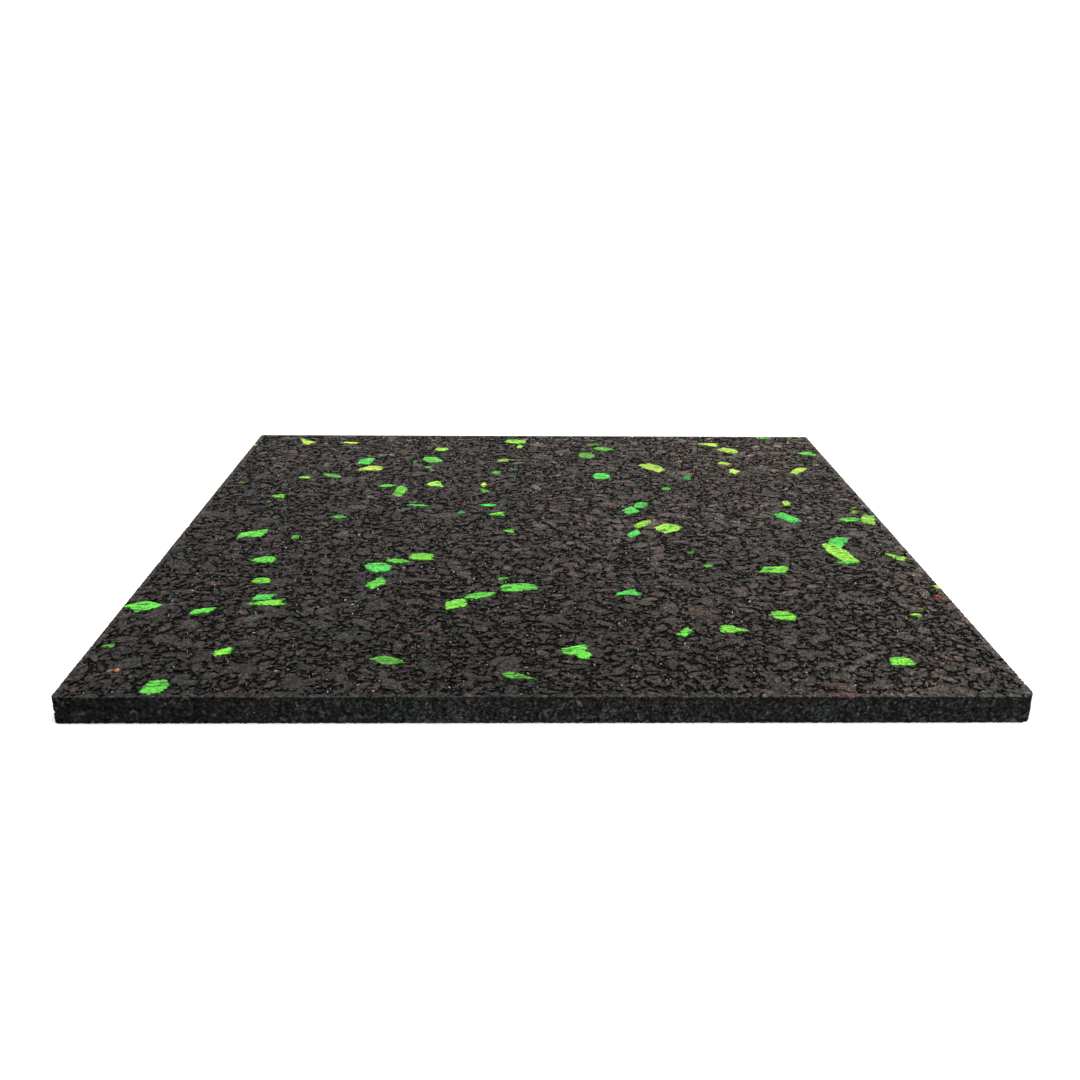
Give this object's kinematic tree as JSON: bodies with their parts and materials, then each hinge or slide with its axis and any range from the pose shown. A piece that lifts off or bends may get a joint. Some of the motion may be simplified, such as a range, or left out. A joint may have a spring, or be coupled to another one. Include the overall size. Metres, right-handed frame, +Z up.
{
  "type": "gym floor tile",
  "caption": "Square slab of black crumb rubber with green flakes in it, laid edge to edge with others as a gym floor.",
  "frame": {"origin": "middle of the underside, on the floor that the tile lies on", "axes": "+Z up out of the tread face, +X and +Y along the tile's two equal sides; the picture looks from -Y"},
  "size_m": [0.5, 0.5, 0.015],
  "materials": {
    "black_crumb_rubber": "matte",
    "green_flake_rubber": "matte",
    "rust_crumb_rubber": "matte"
  },
  "bodies": {
    "root": {"rubber_tile": "black_crumb_rubber"}
  },
  "joints": []
}
